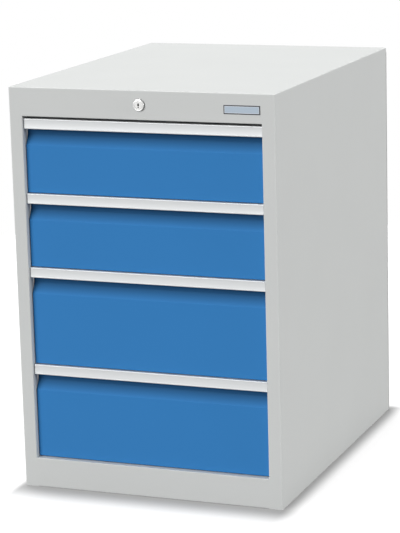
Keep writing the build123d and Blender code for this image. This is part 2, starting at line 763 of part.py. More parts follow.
def lock_plug():
    """Turning core of the lock."""
    core = rod(0, LOCK_Z, (PLUG_RECESS - LOCK_PROUD, CAM_START), PLUG_RADIUS)
    tapped = rod(
        0,
        LOCK_Z,
        (CAM_START - CAM_SCREW_REACH - CAM_SCREW_CLEARANCE, CAM_START + OVERRUN),
        CAM_SCREW_RADIUS + CAM_SCREW_CLEARANCE,
    )
    return core - keyhole() - tapped


def lock_nut():
    """Hexagon nut that clamps the barrel to the header."""
    hexagon = RegularPolygon(NUT_FLATS / 2, 6, major_radius=False)
    nut = along_depth(Pos(0, LOCK_Z) * hexagon, (SHEET, SHEET + NUT_HEIGHT))
    return nut - rod(0, LOCK_Z, (0, SHEET + NUT_HEIGHT + OVERRUN), LOCK_BODY_RADIUS + NUT_CLEARANCE)


def lock_cam():
    """Crank plate on the plug's rear end, with the pin that moves the lever."""
    plate = SlotCenterToCenter(CAM_RADIUS, CAM_WIDTH)
    turned = Rot(0, 0, CAM_SWING_DEGREES / 2) * plate
    crank = along_depth(Pos(CAM_PIN_X / 2, LOCK_Z + CAM_PIN_Z / 2) * turned, (CAM_START, CAM_END))
    hole = rod(0, LOCK_Z, (CAM_START - OVERRUN, CAM_END + OVERRUN), CAM_SCREW_RADIUS + CAM_SCREW_CLEARANCE)
    pin = rod(CAM_PIN_X, LOCK_Z + CAM_PIN_Z, (CAM_END, LEVER_END + LEVER_GAP), PIN_RADIUS)
    return crank - hole + pin


def lock_cam_screw():
    """Screw that holds the cam on the plug."""
    head = (CAM_END, CAM_END + CAM_SCREW_HEAD)
    shank = (CAM_START - CAM_SCREW_REACH, CAM_END)
    return pan_head_screw(0, LOCK_Z, head, shank, CAM_SCREW_HEAD_RADIUS, CAM_SCREW_RADIUS)


def lock_lever():
    """Rocking strip behind the header, drawn level and then tilted to its open place."""
    far_pin = math.hypot(LEVER_PIVOT_OUT + CAM_PIN_X, CAM_PIN_Z)
    near_pin = LEVER_PIVOT_OUT - CAM_RADIUS
    right_slot = (far_pin + near_pin) / 2
    right_play = far_pin - near_pin + 2 * PIN_PLAY
    slot_width = 2 * (PIN_RADIUS + PIN_PLAY)
    left_end = BAR_ARM + LEVER_WIDTH / 2
    right_end = far_pin + LEVER_WIDTH / 2
    strip = Pos((right_end - left_end) / 2, 0) * SlotOverall(left_end + right_end, LEVER_WIDTH)
    strip -= Pos(right_slot, 0) * SlotCenterToCenter(right_play, slot_width)
    strip -= Pos(-BAR_ARM, 0) * SlotCenterToCenter(2 * PIN_PLAY, slot_width)
    strip -= Circle(PIVOT_RADIUS + PIVOT_CLEARANCE)
    tilted = Rot(0, 0, -math.degrees(LEVER_TILT)) * strip
    return along_depth(Pos(-LEVER_PIVOT_OUT, LOCK_Z) * tilted, (LEVER_START, LEVER_END))


def lock_lever_pivot():
    """Shouldered stud on the back of the header."""
    x = -LEVER_PIVOT_OUT
    shoulder = LEVER_START - PIVOT_SIDE_GAP
    head = LEVER_END + PIVOT_SIDE_GAP
    stud = rod(x, LOCK_Z, (SHEET, SHEET + PIVOT_BASE_HEIGHT), PIVOT_BASE_RADIUS)
    stud += rod(x, LOCK_Z, (SHEET, shoulder), PIVOT_SHOULDER_RADIUS)
    stud += rod(x, LOCK_Z, (SHEET, head), PIVOT_RADIUS)
    return stud + rod(x, LOCK_Z, (head, head + PIVOT_HEAD_HEIGHT), PIVOT_SHOULDER_RADIUS)


def bar_ends():
    """Heights of the lock bar's two ends with the lock open."""
    low = hook_floor(FLOORS[-1]) - BAR_TRAVEL - 2 * GUIDE_GAP - GUIDE_HEIGHT
    return low, LOCK_Z + BAR_LIFT + BAR_END


def lock_bar():
    """Flat bar in the left front post, with a pin for the lever and a hook for each drawer."""
    half = BAR_WIDTH / 2
    depth_span = (BAR_START, BAR_END_DEPTH)
    bar = block((BAR_X - half, BAR_X + half), depth_span, bar_ends())
    hook_x = -BOX_HALF - HOOK_WALL_GAP
    for floor in FLOORS:
        low = hook_floor(floor)
        bar += block((BAR_X, hook_x), depth_span, (low, low + HOOK_HEIGHT))
    pin = rod(BAR_X, LOCK_Z + BAR_LIFT, (LEVER_START - LEVER_GAP, BAR_START), PIN_RADIUS)
    return bar + pin


def lock_bar_guides():
    """Two loops on the post's web that the bar slides through."""
    half = BAR_WIDTH / 2 + GUIDE_CLEARANCE
    outer = BAR_X - half - GUIDE_WALL
    lower = hook_floor(FLOORS[-1]) - BAR_TRAVEL - GUIDE_GAP - GUIDE_HEIGHT
    upper = hook_floor(FLOORS[0]) + HOOK_HEIGHT + GUIDE_GAP
    near = BAR_START - GUIDE_CLEARANCE
    far = BAR_END_DEPTH + GUIDE_CLEARANCE
    guides = []
    for low in (lower, upper):
        z_span = (low, low + GUIDE_HEIGHT)
        loop = block((outer, -OPENING_HALF - SHEET), (near - GUIDE_WALL, far + GUIDE_WALL), z_span)
        gap = block((BAR_X - half, BAR_X + half), (near, far), (low - OVERRUN, low + GUIDE_HEIGHT + OVERRUN))
        guides.append(loop - gap)
    return guides


# Files


def save(name, *pieces):
    """One file for a node, with its solids kept apart."""
    solids = [solid for piece in pieces for solid in piece.solids()]
    shape = solids[0] if len(solids) == 1 else Compound(children=solids)
    export_step(shape, f"parts/{name}.step")


def save_housing():
    """The standing pieces."""
    save("side_panel_right", side_panel())
    save("side_panel_left", mirrored(side_panel()))
    save("top_panel", top_panel())
    save("front_header", front_header())
    save("front_plinth", front_plinth())
    save("floor_panel", floor_panel())
    save("rear_panel", rear_panel())
    save("rear_panel_screws", *rear_panel_screws())
    save("post_front_right", front_post())
    save("post_front_left", left_front_post())
    save("post_rear_right", rear_post())
    save("post_rear_left", mirrored(rear_post()))
    save("rail_screws", *rail_screws())
    save("badge_plate", badge_plate())


def save_lock():
    """The lock and its bar."""
    save("lock_barrel", lock_barrel())
    save("lock_plug", lock_plug())
    save("lock_nut", lock_nut())
    save("lock_cam", lock_cam())
    save("lock_cam_screw", lock_cam_screw())
    save("lock_lever", lock_lever())
    save("lock_lever_pivot", lock_lever_pivot())
    save("lock_bar", lock_bar())
    save("lock_bar_guides", *lock_bar_guides())


def save_drawers():
    """Each drawer with its two slides."""
    for index, (floor, height) in enumerate(zip(FLOORS, MODULE_HEIGHTS)):
        number = index + 1
        name = f"drawer_{number}"
        z = rail_height(floor)
        save(f"{name}_front", drawer_front(number, floor, height))
        save(f"{name}_handle", drawer_handle(floor, height))
        save(f"{name}_box", *drawer_box(floor, height), lock_catch(floor))
        save(f"{name}_front_screws", *drawer_front_screws(floor, height))
        save(f"{name}_rails_fixed", *both_sides([rail_fixed(z)]))
        save(f"{name}_rails_middle", *both_sides([rail_middle(z)]))
        save(f"{name}_rails_drawer", *both_sides([rail_drawer(z)]))
        save(f"{name}_cages_outer", *both_sides(cage_outer(z)))
        save(f"{name}_cages_inner", *both_sides(cage_inner(z)))


os.makedirs("parts", exist_ok=True)
save_housing()
save_lock()
save_drawers()
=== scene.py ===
"""Looks of an industrial drawer cabinet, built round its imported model.

Metres, in the model's own frame: X runs to the right along the front, the fronts face -Y, Z is up.
"""

import json
import math
import re

import bmesh
import bpy
import numpy as np
from bpy.props import FloatProperty, FloatVectorProperty, IntProperty, PointerProperty
from mathutils import Matrix, Vector

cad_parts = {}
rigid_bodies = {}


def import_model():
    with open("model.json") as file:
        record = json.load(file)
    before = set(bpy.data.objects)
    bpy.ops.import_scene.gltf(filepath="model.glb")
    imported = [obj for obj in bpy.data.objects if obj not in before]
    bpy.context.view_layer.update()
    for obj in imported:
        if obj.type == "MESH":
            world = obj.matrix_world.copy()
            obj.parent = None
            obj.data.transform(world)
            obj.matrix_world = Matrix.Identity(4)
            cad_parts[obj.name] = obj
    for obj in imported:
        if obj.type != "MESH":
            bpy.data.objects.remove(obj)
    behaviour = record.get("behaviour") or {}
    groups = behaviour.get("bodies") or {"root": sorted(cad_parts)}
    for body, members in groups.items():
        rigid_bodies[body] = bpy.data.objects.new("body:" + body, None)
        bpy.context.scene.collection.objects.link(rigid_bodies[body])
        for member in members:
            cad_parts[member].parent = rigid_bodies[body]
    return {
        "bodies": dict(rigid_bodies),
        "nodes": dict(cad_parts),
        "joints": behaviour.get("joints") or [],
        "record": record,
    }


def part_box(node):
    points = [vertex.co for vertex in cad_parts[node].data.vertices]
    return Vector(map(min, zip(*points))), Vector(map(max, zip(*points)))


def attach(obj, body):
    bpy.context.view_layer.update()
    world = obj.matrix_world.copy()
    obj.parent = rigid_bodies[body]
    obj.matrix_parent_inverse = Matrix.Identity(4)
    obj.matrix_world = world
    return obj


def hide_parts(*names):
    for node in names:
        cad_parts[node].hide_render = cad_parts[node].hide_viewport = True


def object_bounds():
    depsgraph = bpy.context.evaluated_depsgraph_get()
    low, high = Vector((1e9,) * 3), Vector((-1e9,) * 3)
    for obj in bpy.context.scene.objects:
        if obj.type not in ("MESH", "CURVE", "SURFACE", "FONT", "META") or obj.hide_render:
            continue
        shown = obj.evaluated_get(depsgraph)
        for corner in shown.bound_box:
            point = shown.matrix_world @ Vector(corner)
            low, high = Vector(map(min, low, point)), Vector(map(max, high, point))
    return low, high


bl_info = {
    "name": "Industrial drawer cabinet",
    "version": (1, 0, 0),
    "blender": (4, 5, 0),
    "location": "3D View > Sidebar > Cabinet",
    "description": "Coats, strips, lock, badge, screws and studio of a workshop drawer cabinet",
    "category": "Add Mesh",
}

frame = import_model()
NODES = frame["nodes"]
MODEL_LOW, MODEL_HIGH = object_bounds()
DRAWERS = sorted(body for body in frame["bodies"] if re.fullmatch(r"drawer_\d+", body))
NEAR = 1e-6
NEAR_DECIMALS = 6
QUARTER_TURN = math.pi / 2
FULL_TURN = 2 * math.pi
SHARP_ANGLE = math.radians(30)
CORNER_STEPS = 6
LIP_EDGES = (0, 5)
DIAL_STEPS = 96
DIAL_RIM_STEPS = 8
PLATE_CORNER_STEPS = 8
LEAST_CORNER = 1 / 4
SCREW_RIM_STEPS = 7
FLOOR_RINGS = 7
FLOOR_STEPS = 96
PATTERN_MIDDLE = 0.5
COAT_DETAIL = 2
LINE_DETAIL = 2.5
ZINC_DETAIL = 3
ZINC_FINER = 9
ZINC_CELL_SHARE = 0.7
PLAIN_GLOSS = 0.5
WHITE = (1, 1, 1, 1)
# Sockets of the painted shade that darkens a colour with the depth behind a face.
DARK_LABELS = ["Dark start", "Dark end", "Dark share"]
NO_DARK = (0, 1, 1)


def joint_place(name):
    """Point that a joint turns about."""
    for joint in frame["joints"]:
        if joint["name"] == name:
            return Vector(joint["pos_m"])
    raise RuntimeError(f"the model has no joint {name}")


LOCK_PLACE = joint_place("lock_turn")


# Settings


def colour_setting(name, description, default):
    """A linear colour with its swatch."""
    return FloatVectorProperty(
        name=name, description=description, subtype="COLOR", size=3, min=0, max=1, default=default
    )


def length_setting(name, description, default):
    """A length in metres."""
    return FloatProperty(
        name=name, description=description, unit="LENGTH", precision=5, min=0, default=default
    )


def share_setting(name, description, default):
    """A share from 0 to 1."""
    return FloatProperty(name=name, description=description, subtype="FACTOR", min=0, max=1, default=default)


def angle_setting(name, description, degrees):
    """An angle, written in degrees and kept in radians."""
    return FloatProperty(name=name, description=description, subtype="ANGLE", default=math.radians(degrees))


def strength_setting(name, description, default):
    """A strength of light, from nought."""
    return FloatProperty(name=name, description=description, min=0, default=default)


class CoatSettings(bpy.types.PropertyGroup):
    """Powder coats of the housing, the drawer fronts and the drawer boxes."""

    housing_colour: colour_setting("Housing", "Light grey of the housing", (0.652, 0.665, 0.657))
    front_colour: colour_setting("Fronts", "Blue of the drawer fronts", (0.038, 0.214, 0.526))
    box_colour: colour_setting("Boxes", "Grey of the drawer boxes", (0.62, 0.63, 0.625))
    roughness: share_setting("Roughness", "Roughness of the coat", 0.62)
    gloss: share_setting("Gloss", "Strength of the coat's reflections", 0.1)
    peel_size: length_setting("Peel size", "Width of the coat's small waves", 0.0022)
    peel_height: length_setting("Peel height", "Height of the coat's small waves", 0.00003)
    grain_size: length_setting("Grain size", "Width of the coat's fine grain", 0.0007)
    grain_change: share_setting("Grain colour", "How much the fine grain changes the colour", 0.03)
    grain_rough: share_setting("Grain roughness", "How much the fine grain changes the roughness", 0.08)
    cloud_size: length_setting("Cloud size", "Width of the faint clouds in the coat", 0.16)
    cloud_change: share_setting("Cloud colour", "How much the clouds change the colour", 0.036)
    # Painted shade: the fronts' coat darkens in a straight line from the face depth to the recess depth,
    # where the recess shade's share of its colour is left.
    face_depth: length_setting("Face depth", "How far the fronts' faces lie behind the housing's", 0.0105)
    recess_depth: length_setting("Recess depth", "How far the recess lies behind the housing's", 0.0215)
    recess_shade: share_setting("Recess shade", "Share of the colour that is left deep in the recess", 0.43)


class MetalSettings(bpy.types.PropertyGroup):
    """Bare and plated metals."""

    strip_colour: colour_setting("Strips", "Pale anodised aluminium of the strips", (0.632, 0.646, 0.651))
    strip_roughness: share_setting("Strip roughness", "Roughness of the matt strips", 0.42)
    strip_metal: share_setting("Strip metal", "Share of bare metal in the strips' film", 0.35)
    line_length: length_setting("Line length", "Length of the drawn lines in the strips", 0.12)
    line_width: length_setting("Line width", "Width of the drawn lines in the strips", 0.0004)
    line_height: length_setting("Line height", "Height of the drawn lines", 0.00001)
    line_change: share_setting("Line colour", "How much the drawn lines change the colour", 0.08)
    line_rough: share_setting("Line roughness", "How much the drawn lines change the roughness", 0.15)
    zinc_colour: colour_setting("Zinc", "Bright zinc of the slides and posts", (0.62, 0.63, 0.645))
    zinc_roughness: share_setting("Zinc roughness", "Roughness of the zinc", 0.38)
    zinc_metal: share_setting("Zinc metal", "Share of bare metal in the zinc", 0.85)
    flower_size: length_setting("Flower size", "Width of the flowers in the zinc of sheets", 0.009)
    flower_change: share_setting("Flower colour", "How much the flowers change the colour", 0.16)
    flower_rough: share_setting("Flower roughness", "How much the flowers change the roughness", 0.2)
    screw_flower: length_setting("Screw flower", "Width of the flowers on screws", 0.0015)
    steel_colour: colour_setting("Bearings", "Polished steel of the balls and cages", (0.72, 0.72, 0.73))
    steel_roughness: share_setting("Bearing roughness", "Roughness of the polished steel", 0.2)
    steel_line: length_setting("Bearing line", "Length of the fine lines in the polished steel", 0.004)


class StripSettings(bpy.types.PropertyGroup):
    """Section of the full-width strips."""

    lip: length_setting("Lip", "Thickness of the lip", 0.002)
    web: length_setting("Web", "Thickness of the top web", 0.002)
    leg: length_setting("Leg", "Thickness of the rear leg", 0.0013)
    lip_height: length_setting("Lip height", "Height of the lip", 0.0205)
    bead: length_setting("Bead", "Height of the bead along each edge of the lip", 0.0024)
    bead_proud: length_setting("Bead rise", "How far the beads stand before the lip", 0.0005)
    edge: length_setting("Edge", "Rounding of the lip's outer edges", 0.0012)
    crease: length_setting("Crease", "Rounding of the other edges", 0.00025)


class LockSettings(bpy.types.PropertyGroup):
    """Turned dial and core of the lock."""

    nickel_colour: colour_setting("Nickel", "Satin nickel of the lock", (0.69, 0.69, 0.68))
    nickel_roughness: share_setting("Roughness", "Roughness of the nickel", 0.28)
    nickel_metal: share_setting("Metal", "Share of bare metal in the nickel", 0.75)
    # Painted shade: the dial's outer side is coloured near black where it lies in shade.
    side_colour: colour_setting("Dial side", "Dark side of the dial", (0.075, 0.075, 0.08))
    dial_radius: length_setting("Dial radius", "Radius of the dial", 0.0115)
    body_radius: length_setting("Body radius", "Radius of the sleeve behind the dial", 0.0093)
    bore_radius: length_setting("Bore radius", "Radius of the bore", 0.00805)
    dial_height: length_setting("Dial height", "How far the dial stands before the header", 0.004)
    edge: length_setting("Edge", "Rounding of the dial's rim", 0.0012)
    groove: length_setting("Groove", "Depth of the ring turned into the dial", 0.00025)
    ring_pitch: length_setting("Ring pitch", "Distance between the turning marks", 0.00022)
    ring_height: length_setting("Ring height", "Height of the turning marks", 0.000004)
    ring_change: share_setting("Ring colour", "How much the turning marks change the colour", 0.04)
    ring_rough: share_setting("Ring roughness", "How much the turning marks change the roughness", 0.06)
    # Painted shade: the lock's core grows dark within the keyhole's fade depth.
    key_shade: share_setting("Keyhole shade", "Share of the colour that is left deep in the keyhole", 0.02)
    key_fade: length_setting("Keyhole fade", "Depth in which the keyhole grows dark", 0.0005)


class BadgeSettings(bpy.types.PropertyGroup):
    """Bare badge plate with a printed rim."""

    corner: length_setting("Corner", "Radius of the plate's corners", 0.0008)
    rim: length_setting("Rim", "Width of the dark rim", 0.0018)
    line: length_setting("Line", "Width of the pale line inside the rim", 0.0008)
    edge: length_setting("Edge", "Rounding of the plate's edge", 0.0002)
    recess: length_setting("Recess", "How far the field lies below the rim", 0.00015)
    rim_colour: colour_setting("Rim colour", "Dark print of the rim", (0.03, 0.033, 0.042))
    line_colour: colour_setting("Line colour", "Pale line", (0.68, 0.72, 0.76))
    field_colour: colour_setting("Field colour", "Pale blue-grey field", (0.41, 0.49, 0.575))
    roughness: share_setting("Roughness", "Roughness of the print", 0.38)
    metal: share_setting("Metal", "Share of bare metal that shows through the print", 0.15)
    line_length: length_setting("Grain length", "Length of the fine lines in the print", 0.03)
    line_width: length_setting("Grain width", "Width of the fine lines in the print", 0.0003)
    line_change: share_setting("Grain colour", "How much the fine lines change the colour", 0.05)


class ScrewSettings(bpy.types.PropertyGroup):
    """Pan-head screws with a lobed drive."""

    rear_shank: length_setting("Rear shank", "Shank radius of the rear panel's screws", 0.002)
    rear_head: length_setting("Rear head", "Head height of the rear panel's screws", 0.0015)
    front_shank: length_setting("Front shank", "Shank radius of the fronts' screws", 0.0025)
    front_head: length_setting("Front head", "Head height of the fronts' screws", 0.0025)
    flat_share: share_setting("Flat", "Radius of the head's flat top as a share of the head's", 0.72)
    fall_share: share_setting("Fall", "How far the rim is rounded, as a share of the head's height", 0.8)
    drive_share: share_setting("Drive width", "Drive radius as a share of the head's", 0.46)
    drive_depth_share: share_setting("Drive depth", "Drive depth as a share of the head's height", 0.7)
    bevel_share: share_setting("Drive bevel", "Bevel of the drive's edge as a share of its radius", 0.08)
    lobe_share: share_setting("Lobes", "How deep the drive's lobes are, as a share of its radius", 0.16)
    lobes: IntProperty(name="Lobe count", description="Lobes of the drive", min=3, max=12, default=6)
    segments: IntProperty(name="Segments", description="Steps round a screw", min=24, max=96, default=48)


class StudioSettings(bpy.types.PropertyGroup):
    """Camera, lamps, world and floor."""

    azimuth: angle_setting("Azimuth", "Camera's turn to the right of the front", 20.7185)
    elevation: angle_setting("Elevation", "Camera's height above the level", 12.5213)
    roll: angle_setting("Roll", "Camera's tilt about its own axis", -1.3573)
    distance: length_setting("Distance", "Camera's distance from its target", 4.6015)
    target: FloatVectorProperty(
        name="Target", description="Point that the camera looks at", subtype="XYZ", unit="LENGTH", size=3,
        default=(0.04421, 0.002, 0.39564),
    )
    lens: FloatProperty(name="Lens", description="Focal length", unit="CAMERA", min=1, default=147.4904)
    shift: FloatProperty(
        name="Shift", description="How far the picture lies beside the camera's axis, in picture heights",
        default=-0.06,
    )
    world_light: strength_setting("World light", "Even light from all round", 0.24)
    key_azimuth: angle_setting("Key azimuth", "Main lamp's turn to the right of the front", -28)
    key_elevation: angle_setting("Key elevation", "Main lamp's height above the level", 24)
    key_spread: angle_setting("Key spread", "How wide the main lamp looks", 40)
    key_strength: strength_setting("Key strength", "Main lamp's strength", 2.368)
    side_azimuth: angle_setting("Side azimuth", "Side lamp's turn to the right of the front", 90)
    side_elevation: angle_setting("Side elevation", "Side lamp's height above the level", 8)
    side_spread: angle_setting("Side spread", "How wide the side lamp looks", 14)
    side_strength: strength_setting("Side strength", "Side lamp's strength", 1.83)
    top_azimuth: angle_setting("Top azimuth", "Overhead lamp's turn to the right of the front", 215)
    top_elevation: angle_setting("Top elevation", "Overhead lamp's height above the level", 82)
    top_spread: angle_setting("Top spread", "How wide the overhead lamp looks", 10)
    top_strength: strength_setting("Top strength", "Overhead lamp's strength", 1.772)
    floor_radius: length_setting("Floor radius", "Radius of the round floor", 2.4)
    floor_seen: share_setting("Floor tone", "Tone of the floor in the view and in reflections", 0.3)
    floor_bounce: share_setting("Floor bounce", "Tone of the floor for the light that it sends back", 0.2)
    floor_glow: share_setting("Floor glow", "White that the view adds to the floor beyond the shadow", 0.8)
    # The foot's shadow is partly real shadow and partly painted shadow: the view's glow falls to the foot
    # glow's share at the foot, over these widths.
    foot_glow: share_setting("Foot glow", "Share of that white that is left at the foot", 0.23)
    front_shadow: length_setting("Front shadow", "Width of the shadow at the front's foot", 0.09)
    back_shadow: length_setting("Back shadow", "Width of the shadow at the back's foot", 0.03)
    left_shadow: length_setting("Left shadow", "Width of the shadow at the left side's foot", 0.02)
    right_shadow: length_setting("Right shadow", "Width of the shadow at the right side's foot", 0.04)
    glow_start: length_setting("Glow start", "Distance from the middle at which the floor grows whiter", 0.9)
    glow_end: length_setting("Glow end", "Distance from the middle at which the floor is white", 2.2)


class CabinetSettings(bpy.types.PropertyGroup):
    """All settings of the cabinet."""

    coats: PointerProperty(type=CoatSettings)
    metals: PointerProperty(type=MetalSettings)
    strips: PointerProperty(type=StripSettings)
    lock: PointerProperty(type=LockSettings)
    badge: PointerProperty(type=BadgeSettings)
    screws: PointerProperty(type=ScrewSettings)
    studio: PointerProperty(type=StudioSettings)


# Surfaces


def grid_faces(rows, columns, close_columns):
    """Quads of a grid of points: each joins a point to the next in its row and to the two in the next row."""
    ids = np.arange(rows * columns).reshape(rows, columns)
    if close_columns:
        ids = np.concatenate([ids, ids[:, :1]], axis=1)
    corners = (ids[:-1, :-1], ids[:-1, 1:], ids[1:, 1:], ids[1:, :-1])
    return np.stack([corner.ravel() for corner in corners], axis=1)


def merged_mesh(name, points, faces, outwards):
    """Mesh of points and faces with its doubles merged. Its faces are turned outwards where that is asked."""
    mesh = bpy.data.meshes.new(name)
    mesh.from_pydata(points.tolist(), [], faces)
    shape = bmesh.new()
    shape.from_mesh(mesh)
    bmesh.ops.remove_doubles(shape, verts=shape.verts, dist=NEAR)
    if outwards:
        bmesh.ops.recalc_face_normals(shape, faces=shape.faces)
    shape.to_mesh(mesh)
    shape.free()
    return mesh


def solid_mesh(name, grids, caps=()):
    """Smooth mesh of closed tubes, each a grid of rings of points, with sharp edges where it turns far.

    Each grid is an array of rings, points and coordinates. The caps are rings closed with one flat face.
    """
    points = []
    faces = []
    start = 0
    for grid in grids:
        rows, columns = grid.shape[:2]
        points.append(grid.reshape(-1, 3))
        faces.extend((grid_faces(rows, columns, True) + start).tolist())
        faces.extend([(start + row % rows * columns + np.arange(columns)).tolist() for row in caps])
        start += rows * columns
    mesh = merged_mesh(name, np.concatenate(points), faces, outwards=True)
    mesh.shade_smooth()
    mesh.set_sharp_from_angle(angle=SHARP_ANGLE)
    return mesh


def face_middles(mesh):
    """Middle of each face."""
    middles = np.empty(len(mesh.polygons) * 3, np.float32)
    mesh.polygons.foreach_get("center", middles)
    return middles.reshape(-1, 3)


def add_piece(name, mesh, body, nodes, materials):
    """Object at the origin that rides on a body and stands for its CAD nodes."""
    piece = bpy.data.objects.new(name, mesh)
    bpy.context.scene.collection.objects.link(piece)
    for material in materials:
        mesh.materials.append(material)
    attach(piece, body)
    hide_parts(*nodes)
    return piece


def rounded_outline(points, radii, steps=CORNER_STEPS):
    """Closed outline whose corners are arcs: at each corner the arc touches both of its sides.

    The arc's middle lies on the corner's bisector, at the radius over the sine of half the corner's angle.
    """
    corners = np.asarray(points, float)
    rounds = np.asarray(radii, float)[:, None]
    back = np.roll(corners, 1, axis=0) - corners
    ahead = np.roll(corners, -1, axis=0) - corners
    back /= np.linalg.norm(back, axis=1, keepdims=True)
    ahead /= np.linalg.norm(ahead, axis=1, keepdims=True)
    bisector = back + ahead
    bisector /= np.linalg.norm(bisector, axis=1, keepdims=True)
    half = np.arccos(np.clip(np.sum(back * ahead, axis=1, keepdims=True), -1, 1)) / 2
    middles = corners + bisector * rounds / np.sin(half)
    starts = corners + back * rounds / np.tan(half) - middles
    ends = corners + ahead * rounds / np.tan(half) - middles
    turn = np.pi - 2 * half
    share = np.linspace(0, 1, steps)[None, :, None]
    weights = np.sin((1 - share) * turn[:, None]), np.sin(share * turn[:, None])
    arcs = (weights[0] * starts[:, None] + weights[1] * ends[:, None]) / np.sin(turn)[:, None]
    return (middles[:, None] + arcs).reshape(-1, 2)


def turned_grid(profile, radius_at, steps):
    """Rings of a shape turned about Y, from rows of radius, depth and the wave's share.

    Each ring lies at its depth, with its radius times one plus its share of a wave round the axis.
    """
    angle = np.linspace(0, FULL_TURN, steps, endpoint=False)
    radius, depth, wave = np.array(profile, float).T[:, :, None]
    radii = radius * (1 + wave * (radius_at(angle)[None, :] - 1))
    rows = np.broadcast_to(depth, radii.shape)
    return np.stack([radii * np.sin(angle), rows, radii * np.cos(angle)], axis=2)


def rounded_rim(start, width, depth, fall, steps):
    """Rows of a profile that follow a quarter of an ellipse, from a flat face outwards and over its rim.

    The radius grows from the start by the width times the turn's sine, and the depth changes by the fall
    times one less the turn's cosine.
    """
    turns = np.linspace(0, QUARTER_TURN, steps)
    return [(start + width * math.sin(turn), depth + fall * (1 - math.cos(turn)), 0) for turn in turns]


# Materials


def new_material(name):
    """Empty material with its shader, output and Object coordinates."""
    material = bpy.data.materials.new(name)
    material.use_nodes = True
    nodes = material.node_tree.nodes
    nodes.clear()
    output = nodes.new("ShaderNodeOutputMaterial")
    shader = nodes.new("ShaderNodeBsdfPrincipled")
    place = nodes.new("ShaderNodeTexCoord")
    material.node_tree.links.new(shader.outputs["BSDF"], output.inputs["Surface"])
    return material, shader, place.outputs["Object"]


def feed(tree, socket, value):
    """Links a socket to another socket, or sets it to a number or a vector."""
    if isinstance(value, bpy.types.NodeSocket):
        tree.links.new(value, socket)
    else:
        socket.default_value = value


def math_node(tree, operation, *values):
    """Math node of the values, which are numbers or sockets."""
    node = tree.nodes.new("ShaderNodeMath")
    node.operation = operation
    for socket, value in zip(node.inputs, values):
        feed(tree, socket, value)
    return node.outputs["Value"]


def vector_node(tree, operation, *values):
    """Vector math node of the values, which are vectors or sockets."""
    node = tree.nodes.new("ShaderNodeVectorMath")
    node.operation = operation
    for socket, value in zip(node.inputs, values):
        feed(tree, socket, value)
    return node.outputs["Value" if operation == "LENGTH" else "Vector"]


def range_node(tree, value, start, end, low, high, kind="LINEAR"):
    """Goes from low to high as the value goes from start to end, in a straight line or in another kind."""
    node = tree.nodes.new("ShaderNodeMapRange")
    node.interpolation_type = kind
    ends = {"Value": value, "From Min": start, "From Max": end, "To Min": low, "To Max": high}
    for label, number in ends.items():
        feed(tree, node.inputs[label], number)
    return node.outputs["Result"]


def noise_node(tree, place, scale, detail):
    """Noise at a scale, which is a number or a socket."""
    node = tree.nodes.new("ShaderNodeTexNoise")
    node.inputs["Detail"].default_value = detail
    tree.links.new(place, node.inputs["Vector"])
    feed(tree, node.inputs["Scale"], scale)
    return node.outputs["Fac"]


def axis_parts(tree, place):
    """Sockets of a place's X, Y and Z."""
    node = tree.nodes.new("ShaderNodeSeparateXYZ")
    tree.links.new(place, node.inputs["Vector"])
    return node.outputs


def change_node(tree, pattern, strength):
    """How far a pattern between 0 and 1 stands above its middle, times a strength."""
    return math_node(tree, "MULTIPLY", math_node(tree, "SUBTRACT", pattern, PATTERN_MIDDLE), strength)


def change_factor(tree, *changes):
    """One and the sum of the changes."""
    factor = 1
    for change in changes:
        factor = math_node(tree, "ADD", change, factor)
    return factor


def finish_group(name, labels):
    """Node group of a finish, with the sockets that all finishes share, its own labels and its end nodes."""
    group = bpy.data.node_groups.new(name, "ShaderNodeTree")
    inputs = {"Place": "NodeSocketVector", "Colour": "NodeSocketColor"}
    inputs.update(dict.fromkeys(["Roughness", "Rough change", *labels], "NodeSocketFloat"))
    outputs = {"Colour": "NodeSocketColor", "Roughness": "NodeSocketFloat", "Height": "NodeSocketFloat"}
    for way, sockets in (("INPUT", inputs), ("OUTPUT", outputs)):
        for label, kind in sockets.items():
            group.interface.new_socket(name=label, in_out=way, socket_type=kind)
    return group, group.nodes.new("NodeGroupInput").outputs, group.nodes.new("NodeGroupOutput").inputs


def finish_outputs(group, inputs, outputs, factor, rough_pattern, height):
    """Sends the colour times a factor, the roughness changed by a pattern and the height to the end node."""
    colour = group.nodes.new("ShaderNodeVectorMath")
    colour.operation = "SCALE"
    group.links.new(inputs["Colour"], colour.inputs[0])
    group.links.new(factor, colour.inputs["Scale"])
    group.links.new(colour.outputs["Vector"], outputs["Colour"])
    rough_change = change_node(group, rough_pattern, inputs["Rough change"])
    group.links.new(math_node(group, "ADD", inputs["Roughness"], rough_change), outputs["Roughness"])
    group.links.new(height, outputs["Height"])


def depth_shade(group, inputs):
    """Painted shade: falls in a straight line with the depth, from one where the dark starts to its share
    where it ends.
    """
    depth = axis_parts(group, inputs["Place"])["Y"]
    return range_node(group, depth, inputs["Dark start"], inputs["Dark end"], 1, inputs["Dark share"])


def powder_coat(name):
    """Powder coat: small waves, fine grain and faint clouds, each a noise of its own size, with painted shade
    in depth.
    """
    labels = ["Peel size", "Grain size", "Cloud size", "Grain change", "Cloud change", *DARK_LABELS]
    group, inputs, outputs = finish_group(name, labels)
    scales = [math_node(group, "DIVIDE", 1, inputs[f"{label} size"]) for label in ("Peel", "Grain", "Cloud")]
    peel, grain, cloud = [noise_node(group, inputs["Place"], scale, COAT_DETAIL) for scale in scales]
    factor = change_factor(
        group,
        change_node(group, grain, inputs["Grain change"]),
        change_node(group, cloud, inputs["Cloud change"]),
    )
    shaded = math_node(group, "MULTIPLY", factor, depth_shade(group, inputs))
    finish_outputs(group, inputs, outputs, shaded, grain, peel)


